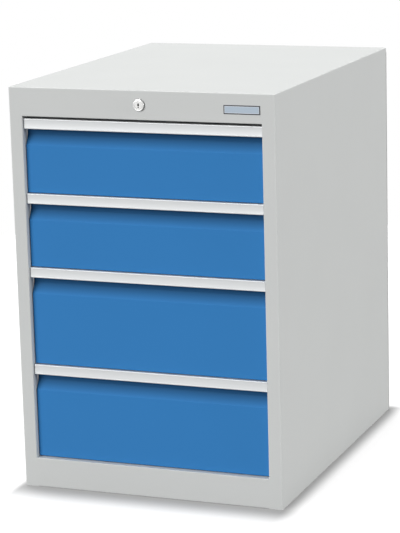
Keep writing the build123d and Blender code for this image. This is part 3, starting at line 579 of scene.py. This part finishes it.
def drawn_lines(name):
    """Drawn metal: a noise stretched along X, so it shows as fine lines that run lengthwise."""
    group, inputs, outputs = finish_group(name, ["Length", "Width", "Colour change"])
    parts = axis_parts(group, inputs["Place"])
    joined = group.nodes.new("ShaderNodeCombineXYZ")
    for axis, size in (("X", "Length"), ("Y", "Width"), ("Z", "Width")):
        group.links.new(math_node(group, "DIVIDE", parts[axis], inputs[size]), joined.inputs[axis])
    lines = noise_node(group, joined.outputs["Vector"], 1, LINE_DETAIL)
    factor = change_factor(group, change_node(group, lines, inputs["Colour change"]))
    finish_outputs(group, inputs, outputs, factor, lines, lines)


def zinc_flowers(name):
    """Zinc flowers: cells of differing brightness, broken by a much finer noise."""
    group, inputs, outputs = finish_group(name, ["Size", "Colour change"])
    cells = group.nodes.new("ShaderNodeTexVoronoi")
    scale = math_node(group, "DIVIDE", 1, inputs["Size"])
    group.links.new(inputs["Place"], cells.inputs["Vector"])
    group.links.new(scale, cells.inputs["Scale"])
    tone = group.nodes.new("ShaderNodeSeparateColor")
    group.links.new(cells.outputs["Color"], tone.inputs["Color"])
    finer = math_node(group, "MULTIPLY", scale, ZINC_FINER)
    grain = noise_node(group, inputs["Place"], finer, ZINC_DETAIL)
    cell_part = math_node(group, "MULTIPLY", tone.outputs["Red"], ZINC_CELL_SHARE)
    flowers = math_node(group, "MULTIPLY_ADD", grain, 1 - ZINC_CELL_SHARE, cell_part)
    factor = change_factor(group, change_node(group, flowers, inputs["Colour change"]))
    finish_outputs(group, inputs, outputs, factor, flowers, grain)


def turned_rings(name):
    """Turned metal: fine rings round the lock's axis, a sine of the distance from it, with painted shade in
    depth.
    """
    group, inputs, outputs = finish_group(name, ["Pitch", "Colour change", *DARK_LABELS])
    offset = vector_node(group, "SUBTRACT", inputs["Place"], LOCK_PLACE)
    distance = vector_node(group, "LENGTH", vector_node(group, "MULTIPLY", offset, (1, 0, 1)))
    turns = math_node(group, "DIVIDE", distance, inputs["Pitch"])
    wave = math_node(group, "SINE", math_node(group, "MULTIPLY", turns, FULL_TURN))
    rings = math_node(group, "MULTIPLY_ADD", wave, PATTERN_MIDDLE, PATTERN_MIDDLE)
    factor = change_factor(group, change_node(group, rings, inputs["Colour change"]))
    shaded = math_node(group, "MULTIPLY", factor, depth_shade(group, inputs))
    finish_outputs(group, inputs, outputs, shaded, rings, rings)


def shared_group(build):
    """Node group that a function builds under its own name, the first time that it is asked for."""
    if build.__name__ not in bpy.data.node_groups:
        build(build.__name__)
    return bpy.data.node_groups[build.__name__]


def grouped_material(name, build, colour, values, height, metal=0, gloss=PLAIN_GLOSS):
    """Material whose colour, roughness and bump come from a group, with its own values."""
    material, shader, place = new_material(name)
    tree = material.node_tree
    node = tree.nodes.new("ShaderNodeGroup")
    node.node_tree = shared_group(build)
    tree.links.new(place, node.inputs["Place"])
    node.inputs["Colour"].default_value = (*colour, 1)
    for label, value in values.items():
        node.inputs[label].default_value = value
    bump = tree.nodes.new("ShaderNodeBump")
    bump.inputs["Distance"].default_value = height
    tree.links.new(node.outputs["Height"], bump.inputs["Height"])
    tree.links.new(node.outputs["Colour"], shader.inputs["Base Color"])
    tree.links.new(node.outputs["Roughness"], shader.inputs["Roughness"])
    tree.links.new(bump.outputs["Normal"], shader.inputs["Normal"])
    shader.inputs["Metallic"].default_value = metal
    shader.inputs["Specular IOR Level"].default_value = gloss
    return material


def coat_material(name, colour, dark=NO_DARK):
    """Matt powder coat of a colour, with the depths where its painted shade starts and ends and the share
    left.
    """
    coats = bpy.context.scene.cabinet.coats
    values = {
        "Roughness": coats.roughness,
        "Peel size": coats.peel_size,
        "Grain size": coats.grain_size,
        "Cloud size": coats.cloud_size,
        "Grain change": coats.grain_change,
        "Cloud change": coats.cloud_change,
        "Rough change": coats.grain_rough,
        **dict(zip(DARK_LABELS, dark)),
    }
    return grouped_material(name, powder_coat, colour, values, coats.peel_height, gloss=coats.gloss)


def lined_material(name, colour, roughness, length, width, change, metal):
    """Metal or print broken by fine lines along X."""
    metals = bpy.context.scene.cabinet.metals
    values = {
        "Roughness": roughness,
        "Length": length,
        "Width": width,
        "Colour change": change,
        "Rough change": metals.line_rough,
    }
    return grouped_material(name, drawn_lines, colour, values, metals.line_height, metal)


def zinc_material(name, flower_size):
    """Bright zinc plate with flowers of a size."""
    metals = bpy.context.scene.cabinet.metals
    values = {
        "Roughness": metals.zinc_roughness,
        "Size": flower_size,
        "Colour change": metals.flower_change,
        "Rough change": metals.flower_rough,
    }
    return grouped_material(
        name, zinc_flowers, metals.zinc_colour, values, metals.line_height, metals.zinc_metal
    )


def turned_material(name, colour, dark=NO_DARK):
    """Satin nickel with turning marks, with the depths where its painted shade starts and ends and the share
    left.
    """
    lock = bpy.context.scene.cabinet.lock
    values = {
        "Roughness": lock.nickel_roughness,
        "Pitch": lock.ring_pitch,
        "Colour change": lock.ring_change,
        "Rough change": lock.ring_rough,
        **dict(zip(DARK_LABELS, dark)),
    }
    return grouped_material(name, turned_rings, colour, values, lock.ring_height, lock.nickel_metal)


def dress(names, material):
    """Gives CAD nodes a material through their slots."""
    for name in names:
        if name not in NODES:
            raise RuntimeError(f"the model has no node {name}")
        node = NODES[name]
        if not node.material_slots:
            raise RuntimeError(f"{name} has no material slot")
        for slot in node.material_slots:
            slot.material = material


def nodes_of_slot(slot):
    """Names of the CAD nodes that the record gives a material slot."""
    return [part["node"] for part in frame["record"]["subparts"] if part["material_slot"] == slot]


# Pieces


class CABINET_OT_coat_housing(bpy.types.Operator):
    """Coats the housing's panels light grey."""

    bl_idname = "cabinet.coat_housing"
    bl_label = "Coat the housing"

    def execute(self, context):
        coats = context.scene.cabinet.coats
        dress(nodes_of_slot("housing_paint"), coat_material("housing_coat", coats.housing_colour))
        return {"FINISHED"}


class CABINET_OT_coat_drawers(bpy.types.Operator):
    """Coats the drawer fronts blue, with painted shade in their finger recesses, and the boxes grey."""

    bl_idname = "cabinet.coat_drawers"
    bl_label = "Coat the drawers"

    def execute(self, context):
        coats = context.scene.cabinet.coats
        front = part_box("front_header")[0].y
        # Painted shade: the fronts' coat grows darker with the depth of the finger recess.
        dark = (front + coats.face_depth, front + coats.recess_depth, coats.recess_shade)
        dress(nodes_of_slot("front_paint"), coat_material("front_coat", coats.front_colour, dark))
        dress(nodes_of_slot("drawer_paint"), coat_material("box_coat", coats.box_colour))
        return {"FINISHED"}


class CABINET_OT_plate_metals(bpy.types.Operator):
    """Plates the posts, slides, lock parts and fasteners."""

    bl_idname = "cabinet.plate_metals"
    bl_label = "Plate the metals"

    def execute(self, context):
        lock = context.scene.cabinet.lock
        metals = context.scene.cabinet.metals
        bearing = lined_material(
            "bearing_steel", metals.steel_colour, metals.steel_roughness, metals.steel_line,
            metals.line_width, metals.line_change, metal=1,
        )
        dress(nodes_of_slot("zinc_sheet"), zinc_material("zinc_sheet", metals.flower_size))
        dress(nodes_of_slot("zinc_screws"), zinc_material("zinc_screws", metals.screw_flower))
        dress(nodes_of_slot("bearing_steel"), bearing)
        dress(nodes_of_slot("lock_chrome"), turned_material("nickel", lock.nickel_colour))
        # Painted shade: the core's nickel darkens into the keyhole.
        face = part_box("lock_plug")[0].y
        dark = (face, face + lock.key_fade, lock.key_shade)
        dress(["lock_plug"], turned_material("lock_core", lock.nickel_colour, dark))
        return {"FINISHED"}


def strip_section(sizes, low, high):
    """Outline of a strip in depth and height, from the lip's lower edge round to the rear leg.

    Each corner has its own rounding: the lip's outer edges have the large one, the others the small one.
    """
    front, rear, top = low.y, high.y, high.z
    lip_face = front + sizes.bead_proud
    lip_back = lip_face + sizes.lip
    lip_low = top - sizes.lip_height
    leg_front = rear - sizes.leg
    points = [
        (front, lip_low),
        (front, lip_low + sizes.bead),
        (lip_face, lip_low + sizes.bead),
        (lip_face, top - sizes.bead),
        (front, top - sizes.bead),
        (front, top),
        (rear, top),
        (rear, low.z),
        (leg_front, low.z),
        (leg_front, top - sizes.web),
        (lip_back, top - sizes.web),
        (lip_back, lip_low),
    ]
    radii = [sizes.edge if corner in LIP_EDGES else sizes.crease for corner in range(len(points))]
    return rounded_outline(points, radii)


class CABINET_OT_handle_strips(bpy.types.Operator):
    """Makes the full-width strips: one rounded section carried along X."""

    bl_idname = "cabinet.handle_strips"
    bl_label = "Make the strips"

    def execute(self, context):
        sizes = context.scene.cabinet.strips
        metals = context.scene.cabinet.metals
        material = lined_material(
            "strip_aluminium", metals.strip_colour, metals.strip_roughness, metals.line_length,
            metals.line_width, metals.line_change, metals.strip_metal,
        )
        for drawer in DRAWERS:
            node = f"{drawer}_handle"
            low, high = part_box(node)
            section = strip_section(sizes, low, high)
            ends = np.array([low.x, high.x])
            across = np.broadcast_to(ends[:, None], (2, len(section)))
            along = np.broadcast_to(section[None], (2, len(section), 2))
            grid = np.concatenate([across[:, :, None], along], axis=2)
            mesh = solid_mesh(f"{drawer}_strip", [grid], caps=(0, -1))
            add_piece(f"{drawer}_strip", mesh, drawer, [node], [material])
        return {"FINISHED"}


class CABINET_OT_lock_dial(bpy.types.Operator):
    """Makes the lock's dial and sleeve: one closed profile turned about the lock's axis, with painted shade
    on the dial's outer side.
    """

    bl_idname = "cabinet.lock_dial"
    bl_label = "Make the lock's dial"

    def execute(self, context):
        sizes = context.scene.cabinet.lock
        barrel_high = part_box("lock_barrel")[1]
        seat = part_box("front_header")[0].y
        face = seat - sizes.dial_height
        groove = (sizes.bore_radius + sizes.dial_radius) / 2
        flat = sizes.dial_radius - sizes.edge
        profile = [
            (sizes.bore_radius, face + 2 * sizes.groove, 0),
            (sizes.bore_radius + sizes.groove, face, 0),
            (groove - 2 * sizes.groove, face, 0),
            (groove, face + sizes.groove, 0),
            (groove + 2 * sizes.groove, face, 0),
            *rounded_rim(flat, sizes.edge, face, sizes.edge, DIAL_RIM_STEPS),
            (sizes.dial_radius, seat, 0),
            (sizes.body_radius, seat, 0),
            (sizes.body_radius, barrel_high.y, 0),
            (sizes.bore_radius, barrel_high.y, 0),
            (sizes.bore_radius, face + 2 * sizes.groove, 0),
        ]
        grid = turned_grid(profile, np.ones_like, DIAL_STEPS) + np.array([LOCK_PLACE.x, 0, LOCK_PLACE.z])
        mesh = solid_mesh("lock_dial", [grid])
        # Painted shade: the dial's outer side gets a near-black nickel of its own.
        materials = [bpy.data.materials["nickel"], turned_material("dial_side", sizes.side_colour)]
        add_piece("lock_dial", mesh, "housing", ["lock_barrel"], materials)
        middles = face_middles(mesh)
        out = np.hypot(middles[:, 0] - LOCK_PLACE.x, middles[:, 2] - LOCK_PLACE.z)
        behind_rim = (middles[:, 1] > face + sizes.edge) & (middles[:, 1] < seat)
        on_shaded_side = behind_rim & (out > (sizes.dial_radius + sizes.body_radius) / 2)
        mesh.polygons.foreach_set("material_index", on_shaded_side.astype(np.int32))
        return {"FINISHED"}


def plate_ring(low, high, inset, corner, depth):
    """One ring round a plate: a rectangle pulled in by the inset, its corners rounded, at a depth."""
    points = [
        (low.x + inset, low.z + inset),
        (high.x - inset, low.z + inset),
        (high.x - inset, high.z - inset),
        (low.x + inset, high.z - inset),
    ]
    radius = max(corner - inset, corner * LEAST_CORNER)
    outline = rounded_outline(points, [radius] * len(points), PLATE_CORNER_STEPS)
    depths = np.full(len(outline), depth)
    return np.stack([outline[:, 0], depths, outline[:, 1]], axis=1)


class CABINET_OT_badge(bpy.types.Operator):
    """Makes the bare badge plate: rings that step in from its edge to its field."""

    bl_idname = "cabinet.badge"
    bl_label = "Make the badge"

    def execute(self, context):
        sizes = context.scene.cabinet.badge
        low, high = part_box("badge_plate")
        front, seat = low.y, high.y
        field = front + sizes.recess
        inner = sizes.rim + sizes.recess
        steps = [
            (0, seat),
            (0, front + sizes.edge),
            (sizes.edge, front),
            (sizes.rim, front),
            (inner, field),
            (inner + sizes.line, field),
            (inner + sizes.line + sizes.edge, field),
        ]
        rings = np.stack([plate_ring(low, high, inset, sizes.corner, depth) for inset, depth in steps])
        mesh = solid_mesh("badge", [rings], caps=(0, -1))
        materials = [
            lined_material(
                f"badge_{part}", getattr(sizes, f"{part}_colour"), sizes.roughness, sizes.line_length,
                sizes.line_width, sizes.line_change, sizes.metal,
            )
            for part in ("rim", "line", "field")
        ]
        middles = face_middles(mesh)
        to_edge = np.minimum(
            np.minimum(middles[:, 0] - low.x, high.x - middles[:, 0]),
            np.minimum(middles[:, 2] - low.z, high.z - middles[:, 2]),
        )
        kind = (to_edge > inner).astype(np.int32) + (to_edge > inner + sizes.line).astype(np.int32)
        add_piece("badge", mesh, "housing", ["badge_plate"], materials)
        mesh.polygons.foreach_set("material_index", kind)
        return {"FINISHED"}


def screw_grid(sizes, head_radius, shank_radius, head_height, top, tip):
    """Rings of a pan-head screw along Y, whose top looks towards +Y, from the drive round to the tip.

    The drive's rings follow a radius with lobes: one plus the lobe's share times the cosine of so many turns.
    """
    drive = head_radius * sizes.drive_share
    bevel = drive * sizes.bevel_share
    floor = top - head_height * sizes.drive_depth_share
    flat = head_radius * sizes.flat_share
    fall = head_height * sizes.fall_share
    profile = [
        (0, floor, 1),
        (drive, floor, 1),
        (drive, top - bevel, 1),
        (drive + bevel, top, 1),
        *rounded_rim(flat, head_radius - flat, top, -fall, SCREW_RIM_STEPS),
        (head_radius, top - head_height, 0),
        (shank_radius, top - head_height, 0),
        (shank_radius, tip, 0),
        (0, tip, 0),
    ]

    def lobes(angle):
        return 1 + sizes.lobe_share * np.cos(sizes.lobes * angle)

    return turned_grid(profile, lobes, sizes.segments)


def solid_boxes(node):
    """Box of each separate solid of a node, as its lowest and its highest corner.

    Points that share a place are one. Each starts with its own number, and the two points of an edge both
    take the lower of their numbers, until none changes.
    """
    mesh = NODES[node].data
    places = np.empty(len(mesh.vertices) * 3, np.float32)
    mesh.vertices.foreach_get("co", places)
    places = places.reshape(-1, 3)
    edges = np.empty(len(mesh.edges) * 2, np.int32)
    mesh.edges.foreach_get("vertices", edges)
    merged = np.unique(places.round(NEAR_DECIMALS), axis=0, return_inverse=True)[1].ravel()
    first, second = merged[edges.reshape(-1, 2)].T
    labels = np.arange(merged.max() + 1)
    changed = True
    while changed:
        lowest = np.minimum(labels[first], labels[second])
        spread = labels.copy()
        np.minimum.at(spread, first, lowest)
        np.minimum.at(spread, second, lowest)
        changed = not np.array_equal(spread, labels)
        labels = spread
    owners = labels[merged]
    solids = [places[owners == owner] for owner in np.unique(owners)]
    return [(solid.min(axis=0), solid.max(axis=0)) for solid in solids]


def screw_mesh(name, node, shank_radius, head_height):
    """Detailed screws in the places of a node's plain ones, whose heads look towards +Y."""
    sizes = bpy.context.scene.cabinet.screws
    grids = []
    for low, high in solid_boxes(node):
        radius = (high[0] - low[0]) / 2
        grid = screw_grid(sizes, radius, shank_radius, head_height, high[1], low[1])
        grids.append(grid + np.array([(low[0] + high[0]) / 2, 0, (low[2] + high[2]) / 2]))
    return solid_mesh(name, grids)


class CABINET_OT_screws(bpy.types.Operator):
    """Makes the screws of the rear panel and of the drawer fronts."""

    bl_idname = "cabinet.screws"
    bl_label = "Make the screws"

    def execute(self, context):
        sizes = context.scene.cabinet.screws
        material = bpy.data.materials["zinc_screws"]
        mesh = screw_mesh("rear_screws", "rear_panel_screws", sizes.rear_shank, sizes.rear_head)
        add_piece("rear_screws", mesh, "housing", ["rear_panel_screws"], [material])
        for drawer in DRAWERS:
            node = f"{drawer}_front_screws"
            mesh = screw_mesh(f"{drawer}_screws", node, sizes.front_shank, sizes.front_head)
            add_piece(f"{drawer}_screws", mesh, drawer, [node], [material])
        return {"FINISHED"}


# Studio


def seen_mask(tree):
    """One for the view, reflections and see-through rays, and nought for the light that falls on things."""
    path = tree.nodes.new("ShaderNodeLightPath")
    shiny = math_node(tree, "MAXIMUM", path.outputs["Is Glossy Ray"], path.outputs["Is Transmission Ray"])
    return math_node(tree, "MAXIMUM", path.outputs["Is Camera Ray"], shiny)


def shadow_share(tree, high, low, width, depth):
    """How far one place lies past the other in X and Y, over the painted shadow's width and depth there."""
    past = vector_node(tree, "MAXIMUM", vector_node(tree, "SUBTRACT", high, low), (0, 0, 0))
    return vector_node(tree, "MULTIPLY", past, (1 / width, 1 / depth, 0))


def floor_material(studio):
    """Pale matt floor that grows white with the distance, with a shadow at the object's foot that is partly
    real shadow and partly painted shadow, where the view's glow falls off towards the foot.

    The distance from the foot is the length of what the point's place has beyond the object's box in width
    and depth, each over the width of the painted shadow on that side. The view and the reflections see the
    floor in its pale tone, and the light that it sends back has a darker one.
    """
    material, shader, place = new_material("studio_floor")
    tree = material.node_tree
    seen = seen_mask(tree)
    tone = math_node(
        tree, "MULTIPLY_ADD", seen, studio.floor_seen - studio.floor_bounce, studio.floor_bounce
    )
    tree.links.new(tone, shader.inputs["Base Color"])
    shader.inputs["Roughness"].default_value = 1
    shader.inputs["Specular IOR Level"].default_value = 0
    # Painted shadow: the view's glow falls to the foot glow's share at the object's foot, over each side's
    # shadow width.
    past_high = shadow_share(tree, place, MODEL_HIGH, studio.right_shadow, studio.back_shadow)
    past_low = shadow_share(tree, MODEL_LOW, place, studio.left_shadow, studio.front_shadow)
    from_foot = vector_node(tree, "LENGTH", vector_node(tree, "ADD", past_high, past_low))
    glow_past_painted_shadow = range_node(tree, from_foot, 0, 1, studio.foot_glow, 1, "SMOOTHSTEP")
    far = vector_node(tree, "LENGTH", place)
    far_glow = range_node(
        tree, far, studio.glow_start, studio.glow_end, studio.floor_glow, 1, "SMOOTHSTEP"
    )
    shader.inputs["Emission Color"].default_value = WHITE
    glow = math_node(tree, "MULTIPLY", glow_past_painted_shadow, far_glow)
    tree.links.new(math_node(tree, "MULTIPLY", seen, glow), shader.inputs["Emission Strength"])
    return material


def make_floor(studio):
    """Round floor: rings of growing radius about the middle. They run clockwise, so the faces look up."""
    radii = np.linspace(0, studio.floor_radius, FLOOR_RINGS)[:, None]
    angle = np.linspace(0, -FULL_TURN, FLOOR_STEPS, endpoint=False)[None, :]
    grid = np.stack([radii * np.cos(angle), radii * np.sin(angle), 0 * radii * angle], axis=2)
    faces = grid_faces(FLOOR_RINGS, FLOOR_STEPS, True).tolist()
    mesh = merged_mesh("floor", grid.reshape(-1, 3), faces, outwards=False)
    mesh.materials.append(floor_material(studio))
    floor = bpy.data.objects.new("floor", mesh)
    bpy.context.scene.collection.objects.link(floor)


def make_world(studio):
    """Even light for things, and plain white for the view and reflections."""
    world = bpy.data.worlds.new("studio_world")
    bpy.context.scene.world = world
    world.use_nodes = True
    tree = world.node_tree
    tree.nodes.clear()
    output = tree.nodes.new("ShaderNodeOutputWorld")
    mixed = tree.nodes.new("ShaderNodeMixShader")
    light = tree.nodes.new("ShaderNodeBackground")
    white = tree.nodes.new("ShaderNodeBackground")
    light.inputs["Strength"].default_value = studio.world_light
    light.inputs["Color"].default_value = WHITE
    white.inputs["Color"].default_value = WHITE
    tree.links.new(seen_mask(tree), mixed.inputs["Fac"])
    tree.links.new(light.outputs["Background"], mixed.inputs[1])
    tree.links.new(white.outputs["Background"], mixed.inputs[2])
    tree.links.new(mixed.outputs["Shader"], output.inputs["Surface"])


def away_from_middle(azimuth, elevation):
    """Direction at an azimuth to the right of the front and an elevation above the level."""
    level = math.cos(elevation)
    return Vector((level * math.sin(azimuth), -level * math.cos(azimuth), math.sin(elevation)))


def add_lamp(studio, name):
    """Soft lamp whose light runs one way, from its azimuth and elevation. It falls on all heights alike."""
    azimuth, elevation, spread, strength = [
        getattr(studio, f"{name}_{label}") for label in ("azimuth", "elevation", "spread", "strength")
    ]
    lamp = bpy.data.lights.new(f"{name}_lamp", "SUN")
    lamp.angle = spread
    lamp.energy = strength
    holder = bpy.data.objects.new(f"{name}_lamp", lamp)
    bpy.context.scene.collection.objects.link(holder)
    away = away_from_middle(azimuth, elevation)
    holder.location = (MODEL_LOW + MODEL_HIGH) / 2 + studio.distance * away
    holder.rotation_euler = (-away).to_track_quat("-Z", "Y").to_euler()


def make_camera(studio):
    """Camera at its azimuth, elevation and roll, looking at its target."""
    roll = studio.roll
    back = away_from_middle(studio.azimuth, studio.elevation)
    right = Vector((math.cos(studio.azimuth), math.sin(studio.azimuth), 0))
    up = back.cross(right)
    rolled_right = math.cos(roll) * right + math.sin(roll) * up
    rolled_up = math.cos(roll) * up - math.sin(roll) * right
    camera = bpy.data.objects.new("camera", bpy.data.cameras.new("camera"))
    bpy.context.scene.collection.objects.link(camera)
    camera.data.lens = studio.lens
    camera.data.shift_x = studio.shift
    place = Vector(studio.target) + studio.distance * back
    axes = Matrix((rolled_right, rolled_up, back)).transposed()
    camera.matrix_world = Matrix.Translation(place) @ axes.to_4x4()
    bpy.context.scene.camera = camera


class CABINET_OT_studio(bpy.types.Operator):
    """Makes the floor, the lamps, the world and the camera."""

    bl_idname = "cabinet.studio"
    bl_label = "Make the studio"

    def execute(self, context):
        studio = context.scene.cabinet.studio
        context.scene.view_settings.view_transform = "Standard"
        make_floor(studio)
        make_world(studio)
        for lamp in ("key", "side", "top"):
            add_lamp(studio, lamp)
        make_camera(studio)
        return {"FINISHED"}


# Panel and registration

OPERATORS = (
    CABINET_OT_coat_housing,
    CABINET_OT_coat_drawers,
    CABINET_OT_plate_metals,
    CABINET_OT_handle_strips,
    CABINET_OT_lock_dial,
    CABINET_OT_badge,
    CABINET_OT_screws,
    CABINET_OT_studio,
)


class CABINET_PT_panel(bpy.types.Panel):
    """Lists the cabinet's steps."""

    bl_idname = "CABINET_PT_panel"
    bl_label = "Drawer cabinet"
    bl_space_type = "VIEW_3D"
    bl_region_type = "UI"
    bl_category = "Cabinet"

    def draw(self, context):
        for operator in OPERATORS:
            self.layout.operator(operator.bl_idname)


CLASSES = (
    CoatSettings,
    MetalSettings,
    StripSettings,
    LockSettings,
    BadgeSettings,
    ScrewSettings,
    StudioSettings,
    CabinetSettings,
    *OPERATORS,
    CABINET_PT_panel,
)


def register():
    """Adds the classes and the settings."""
    for kind in CLASSES:
        bpy.utils.register_class(kind)
    bpy.types.Scene.cabinet = PointerProperty(type=CabinetSettings)


def unregister():
    """Takes the settings and the classes away again."""
    del bpy.types.Scene.cabinet
    for kind in reversed(CLASSES):
        bpy.utils.unregister_class(kind)


def main():
    """Makes every piece in order."""
    register()
    bpy.ops.cabinet.coat_housing()
    bpy.ops.cabinet.coat_drawers()
    bpy.ops.cabinet.plate_metals()
    bpy.ops.cabinet.handle_strips()
    bpy.ops.cabinet.lock_dial()
    bpy.ops.cabinet.badge()
    bpy.ops.cabinet.screws()
    bpy.ops.cabinet.studio()


if __name__ == "__main__":
    main()
